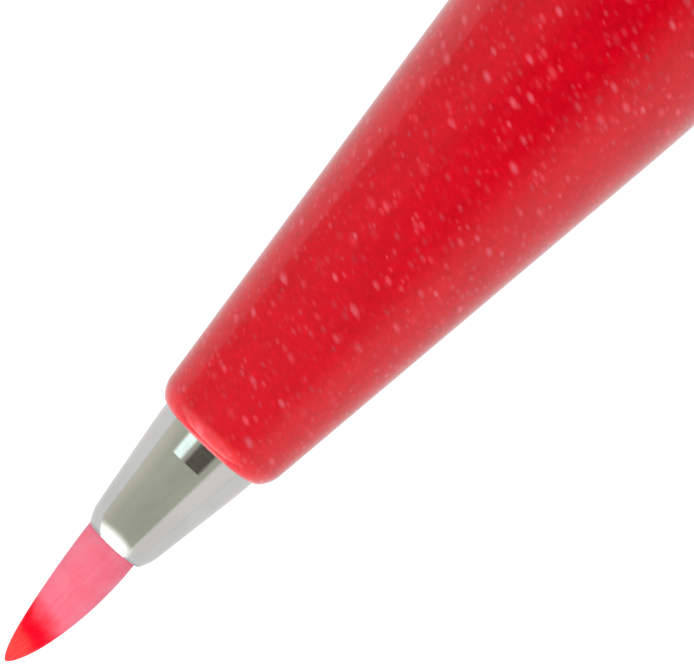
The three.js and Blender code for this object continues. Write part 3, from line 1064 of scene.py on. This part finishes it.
# ---- Cap ----
@dataclass
class Cap(Assembly):
    """Cap on the pen's tail, with its band, liner, crown and clip.

    Attributes:
        mouth: Station of its mouth. The cap's outlines are in depths from here.
        length: Length without clip ring and crown.
        bore: Radius of its bore.
        clip_width: Width of the clip at its root.
        clip_taper: Share of that width that is lost at its tip.
        clip_thickness: Thickness of its strip.
        clip_bend: Radius of the bend at its root.
        clip_top: Distance of the clip's outer face from the axis.
        clip_reach: Length of the clip's arm.
    """

    mouth: float = 113.5
    length: float = 54.0
    bore: float = 6.8
    clip_width: float = 4.0
    clip_taper: float = 0.22
    clip_thickness: float = 0.7
    clip_bend: float = 1.1
    clip_top: float = 9.3
    clip_reach: float = 38.0

    @property
    def clip_root(self) -> float:
        """Depth in the cap where the clip comes out of its washer."""
        return self.length + 0.53

    def capped(self, name: str, node: str, slot: Slot, points: list[Point]) -> None:
        """Builds a turned piece of the cap from an outline in depths from its mouth."""
        self.turned(name, "cap", node, slot, [(u + self.mouth, r) for u, r in points])

    def shell(self) -> None:
        """Builds the cap's tube with the neck under its band."""
        neck, shank = 7.1, 3.0
        outside = [(0.25, self.bore), (0.25, neck), (4.08, neck), (4.08, BODY_RADIUS, 0.12)]
        outside += [(50.0, BODY_RADIUS, 12.0), (self.length, 7.25, 0.3), (self.length, shank)]
        outline = [*rounded(outside), (52.0, shank), (52.0, self.bore)]
        self.capped("cap_tube", "cap_shell", Slot.GLITTER, outline)

    def band(self) -> None:
        """Builds the bright band at the mouth, with a groove near each edge."""
        bore, seat, groove = 6.95, 7.16, 7.4
        corners = [(0.0, bore), (0.0, BODY_RADIUS, 0.25)]
        for u in (1.0, 2.8):
            corners += [(u, BODY_RADIUS), (u + 0.08, groove), (u + 0.22, groove), (u + 0.3, BODY_RADIUS)]
        corners += [(4.0, BODY_RADIUS, 0.1), (4.0, seat), (0.17, seat), (0.17, bore)]
        self.capped("mouth_band", "cap_band", Slot.METAL, ring_outline(corners, 0.04))

    def liner(self) -> None:
        """Builds the inner cap that keeps the brush wet."""
        bore, wall, flange, fillet = 4.25, 4.9, 6.72, 0.12
        corners = [(23.8, 4.55), (23.8, wall), (29.0, wall), (29.0, flange), (30.0, flange), (30.0, wall)]
        corners += [(48.4, wall), (48.4, flange), (50.4, flange), (50.4, 0.0), (49.4, 0.0)]
        corners += [(49.4, bore, 0.6), (24.6, bore, 0.3), (23.8, 4.55)]
        filled = [(*corner, fillet)[:3] if corner[1] > 0 else corner for corner in corners]
        self.capped("inner_cap", "cap_liner", Slot.WHITE, rounded(filled)[:-1])

    def crown(self) -> None:
        """Builds the crown with its shank, and the nut that holds it."""
        base, end, radius = self.length + 1.06, self.length + 3.66, 7.1
        corners = [(50.5, 0.0), (50.5, 2.3, 0.15), (52.08, 2.3), (52.08, 2.9), (base, 2.9)]
        corners += [(base, radius, 0.2), (end, radius, 1.0), (end, 4.2, 0.08), (end - 0.2, 4.05, 0.08)]
        corners += [(end - 0.2, 3.85, 0.08), (end, 3.7, 0.08), (end, 0.0)]
        nut = [(50.5, 2.4), (50.5, 5.0), (51.92, 5.0), (51.92, 2.4)]
        self.capped("shank_nut", "crown_nut", Slot.BRASS, ring_outline(nut, 0.12))
        self.capped("crown_button", "cap_crown", Slot.METAL, rounded(corners))

    def washer(self) -> None:
        """Builds the clip's ring between cap and crown."""
        start, bore, radius = self.length + 0.08, 3.05, 7.2
        corners = [(start, bore), (start, radius), (start + 0.9, radius), (start + 0.9, bore)]
        self.capped("clip_washer", "clip_ring", Slot.METAL, ring_outline(corners, 0.15))

    def clip_path(self) -> list[Vector]:
        """Lays out the clip's middle line: out of the washer, round the bend and along to its tip.

        Returns:
            Points (depth in the cap, distance from the axis).
        """
        tab, bend = self.clip_root, self.clip_bend
        middle = self.clip_top - self.clip_thickness / 2
        touch = BODY_RADIUS + 0.12 + self.clip_thickness / 2
        bump = tab - self.clip_reach + 4.0
        bend_steps, bump_steps, bump_length = 7, 12, 8
        path = [Vector((tab, 5.6)), Vector((tab, middle - bend - 0.3))]
        for i in range(bend_steps + 1):
            angle = math.pi / 2 * i / bend_steps
            path.append(Vector((tab - bend + bend * math.cos(angle), middle - bend + bend * math.sin(angle))))
        path += [Vector((tab - bend - 1.5, middle)), Vector((bump + bump_length, middle - 0.02))]
        for i in range(bump_steps + 1):
            share = i / bump_steps
            rise = (1 - math.cos(FULL_TURN * (share - 0.5))) / 2
            u = bump + bump_length / 2 - bump_length * share
            path.append(Vector((u, touch + (middle - touch) * rise)))
        return path

    def clip_strip(self, path: list[Vector]) -> BMesh:
        """Runs a strip that gets narrower along the clip's middle line, and rounds its edges.

        Args:
            path: The middle line, as clip_path gives it.

        Returns:
            A closed shell over the frame's X axis, in metres.
        """
        shell = bmesh.new()
        corners = [(-0.5, -0.5), (0.5, -0.5), (0.5, 0.5), (-0.5, 0.5)]
        ring = shell.faces.new([shell.verts.new((0.0, x, y)) for x, y in corners])
        for i, point in enumerate(path):
            if i:
                grown = bmesh.ops.extrude_face_region(shell, geom=[ring], use_keep_orig=True)["geom"]
                ring_next = next(part for part in grown if isinstance(part, BMFace))
                if i > 1:
                    bmesh.ops.delete(shell, geom=[ring], context="FACES_ONLY")
                ring = ring_next
            ahead = (path[min(i + 1, len(path) - 1)] - path[max(i - 1, 0)]).normalized()
            run = max(0.0, self.clip_root - point.x)
            width = self.clip_width * (1 - self.clip_taper * run / self.clip_reach)
            for vert, (x, y) in zip(ring.verts, corners):
                offset = Vector((-ahead.y, ahead.x)) * y * self.clip_thickness
                vert.co = Vector((point.x + offset.x, x * width, point.y + offset.y)) * MM
        close_shell(shell)
        square = math.radians(60)
        joined = [edge for edge in shell.edges if len(edge.link_faces) == 2]
        along = [edge for edge in joined if edge.calc_face_angle() > square]
        shape = {"offset": 0.16 * MM, "offset_type": "OFFSET", "segments": 3, "profile": 0.5}
        bmesh.ops.bevel(shell, geom=along, affect="EDGES", material=-1, **shape)
        return shell

    def clip(self) -> None:
        """Builds the clip and turns it towards the CAD clip arm."""
        shell = self.clip_strip(self.clip_path())
        low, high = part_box("clip_arm")
        aim = (low + high) / 2 - AXIS.origin
        turn = Matrix.Rotation(math.atan2(-aim.y, aim.z), 4, "X")
        bmesh.ops.translate(shell, verts=shell.verts, vec=(self.mouth * MM, 0, 0))
        bmesh.ops.rotate(shell, verts=shell.verts, cent=(0, 0, 0), matrix=turn)
        close_shell(shell)
        piece = self.placed(shell, "spring_clip", Slot.METAL, ("clip_arm",), None)
        root = self.mouth + self.clip_root
        AXIS.at(root - 0.6)
        AXIS.at(root - 4.0)
        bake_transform(piece)

    def build(self) -> None:
        """Builds the cap."""
        self.shell()
        self.band()
        self.liner()
        self.crown()
        self.washer()
        self.clip()


# ---- Studio ----
@dataclass(frozen=True)
class Panel:
    """A part of the tent, placed by the side that the surface which mirrors it leans to.

    Attributes:
        low: Where it starts: -1 is the pen's one side, 0 its top and 1 the other side.
        high: Where it ends.
        soft: Half the width of the fade at its ends.
        colour: Its colour. Above 1 it shines.
    """

    low: float
    high: float
    soft: float
    colour: Rgb

    def over(self, sheet: Sheet, under: Socket, side: Socket, where: Socket) -> Socket:
        """Lays the panel over a colour.

        Args:
            sheet: The world's tree.
            under: The colour.
            side: The side that the mirroring surface leans to.
            where: Mask of the slopes that it covers.

        Returns:
            The colour with the panel on it.
        """
        mask = sheet.math("MULTIPLY", where, sheet.window(side, self.low, self.high, self.soft))
        return sheet.mix(mask, under, rgba(self.colour))


@dataclass
class Studio:
    """White light table, tent and camera.

    Attributes:
        distance: Distance from the camera to the part of the pen it looks at.
        view_width: Width of the view there.
        centre: Station in the middle of the view.
        side: How far the middle of the view lies off the axis towards -Y.
        tilt: How far the camera leans towards the tail, in degrees.
        heading: Direction of the pen's axis in the view, in degrees above its lower edge.
        table_size: Width of the table in metres.
        table_glow: Light that the table gives the pen.
        seen_glow: Light that the table shows.
        softbox_size: Width of the lamp over the pen's front, in metres.
        softbox_power: Its power in watts.
        softbox_height: Its distance from the pen, in metres.
    """

    distance: float = 400.0
    view_width: float = 31.388
    centre: float = 21.595
    side: float = 1.14
    tilt: float = 5.5
    heading: float = 46.84
    table_size: float = 3.0
    table_glow: float = 0.55
    seen_glow: float = 0.85
    softbox_size: float = 0.2
    softbox_power: float = 0.5
    softbox_height: float = 0.28

    def table(self) -> None:
        """Builds the white table that the pen lies on."""
        shell = bmesh.new()
        bmesh.ops.create_grid(shell, x_segments=1, y_segments=1, size=self.table_size / 2)
        mesh = bpy.data.meshes.new("table_top")
        shell.to_mesh(mesh)
        shell.free()
        table = link("table_top", mesh)
        colours = {"Base_Color": rgba((0.3, 0.3, 0.3)), "Emission_Color": rgba((1.0, 1.0, 1.0))}
        material, sheet, shader = new_material("table_white", Roughness=0.9, **colours)
        seen = sheet.node("LightPath").outputs["Is Camera Ray"]
        sheet.feed(shader, Emission_Strength=sheet.fade(seen, 0.0, 1.0, self.table_glow, self.seen_glow))
        mesh.materials.append(material)

    def view_direction(self) -> Vector:
        """Gives the direction from the pen to the camera."""
        lean = math.radians(self.tilt)
        return Vector((math.sin(lean), 0.0, math.cos(lean)))

    def tent_colour(self, sheet: Sheet) -> Socket:
        """Colours the tent: pale walls, grey roof, a dark slot for the lens and two bright panels.

        Each part of the tent is placed by the surface that mirrors it to the camera: by how steeply
        that surface falls towards the brush point, and by how far it leans to the pen's +Y or -Y side.

        Args:
            sheet: The world's tree.

        Returns:
            The colour.
        """
        roof, left, right = rgba((0.50, 0.52, 0.42)), rgba((0.80, 0.79, 0.67)), rgba((0.88, 0.86, 0.81))
        beside = Panel(-0.74, 0.50, 0.16, (0.36, 0.35, 0.34))
        lamp = Panel(-0.36, -0.18, 0.04, (1.5, 1.8, 1.72))
        gap = Panel(-0.09, 0.25, 0.04, (0.08, 0.07, 0.055))
        front = Panel(-0.76, 0.43, 0.16, (1.8, 1.8, 1.72))
        given = sheet.node("TexCoord").outputs["Generated"]
        mirror = sheet.vector_math("NORMALIZE", sheet.vector_math("ADD", given, tuple(self.view_direction())))
        way = sheet.node("SeparateXYZ", {0: mirror}).outputs
        slope = sheet.math("MULTIPLY", sheet.math("ARCSINE", way[0]), -180 / math.pi)
        width = sheet.math("SQRT", sheet.math("SUBTRACT", 1.0, sheet.math("MULTIPLY", way[0], way[0])))
        side = sheet.math("DIVIDE", way[1], sheet.math("MULTIPLY", width, -1.0))
        colour = sheet.mix(sheet.fade(side, -0.25, -0.95), roof, left)
        colour = sheet.mix(sheet.fade(side, 0.34, 0.42), colour, right)
        along_grip = sheet.fade(slope, 7.6, 7.3)
        colour = beside.over(sheet, colour, side, along_grip)
        slot = sheet.math("MULTIPLY", along_grip, sheet.window(side, -0.22, 0.33, 0.14))
        deep = sheet.mix(sheet.fade(slope, 5.6, 7.2), rgba((0.0, 0.0, 0.0)), rgba((0.34, 0.33, 0.33)))
        colour = sheet.mix(slot, colour, deep)
        rear = sheet.window(slope, 7.6, 8.7, 0.12)
        colour = lamp.over(sheet, colour, side, rear)
        colour = gap.over(sheet, colour, side, rear)
        off = sheet.math("ADD", side, 0.13)
        narrowed = sheet.math("MULTIPLY_ADD", sheet.math("MULTIPLY", off, off), -16.0, slope)
        colour = front.over(sheet, colour, side, sheet.fade(narrowed, 11.0, 23.0))
        return sheet.mix(sheet.fade(slope, 27.0, 44.0), colour, rgba((4.6, 4.6, 4.4)))

    def tent(self) -> None:
        """Builds the light tent. The camera itself sees plain white."""
        world = bpy.data.worlds.new("tent")
        bpy.context.scene.world = world
        world.use_nodes = True
        world.node_tree.nodes.clear()
        sheet = Sheet(world.node_tree)
        lit = sheet.node("Background", {"Color": self.tent_colour(sheet), "Strength": 1.0}).outputs[0]
        seen = sheet.node("Background", {"Color": rgba((1.0, 1.0, 1.0)), "Strength": 1.0}).outputs[0]
        camera_ray = sheet.node("LightPath").outputs["Is Camera Ray"]
        mixed = sheet.node("MixShader", {0: camera_ray, 1: lit, 2: seen}).outputs[0]
        sheet.feed(sheet.node("OutputWorld"), Surface=mixed)

    def softbox(self) -> None:
        """Builds the soft lamp over the pen's front. It isn't mirrored in the pen."""
        data = bpy.data.lights.new("softbox", "AREA")
        data.size, data.energy = self.softbox_size, self.softbox_power
        lamp = link("softbox", data)
        aim = Vector((0.45, 0.0, -1.0)).normalized()
        lamp.location = AXIS.at(8.0) - aim * self.softbox_height
        lamp.rotation_euler = aim.to_track_quat("-Z", "Y").to_euler()
        lamp.visible_glossy = False
        lamp.visible_camera = False

    def camera(self) -> None:
        """Sets up the camera above the grip."""
        data = bpy.data.cameras.new("camera")
        data.lens = data.sensor_width * self.distance / self.view_width
        data.clip_start, data.clip_end = 0.01, 10.0
        camera = link("camera", data)
        heading = math.radians(self.heading)
        back = self.view_direction()
        along, across = Vector((back.z, 0.0, -back.x)), Vector((0.0, -1.0, 0.0))
        right = along * math.cos(heading) + across * math.sin(heading)
        up = along * math.sin(heading) - across * math.cos(heading)
        place = AXIS.at(self.centre, -self.side) + back * self.distance * MM
        turned = Matrix((right, up, back)).transposed().to_4x4()
        camera.matrix_world = Matrix.Translation(place) @ turned
        bpy.context.scene.camera = camera

    def build(self) -> None:
        """Builds the studio."""
        self.table()
        self.tent()
        self.softbox()
        self.camera()
        bpy.context.scene.view_settings.view_transform = "Standard"


def main() -> None:
    """Builds the pen and its studio."""
    logging.basicConfig(level=logging.INFO, format="%(name)s: %(message)s")
    finishes = Finishes()
    for assembly in (Brush, Grip, InkSupply, Barrel, Cap):
        assembly(finishes).build()
    Studio().build()


if __name__ == "__main__":
    main()
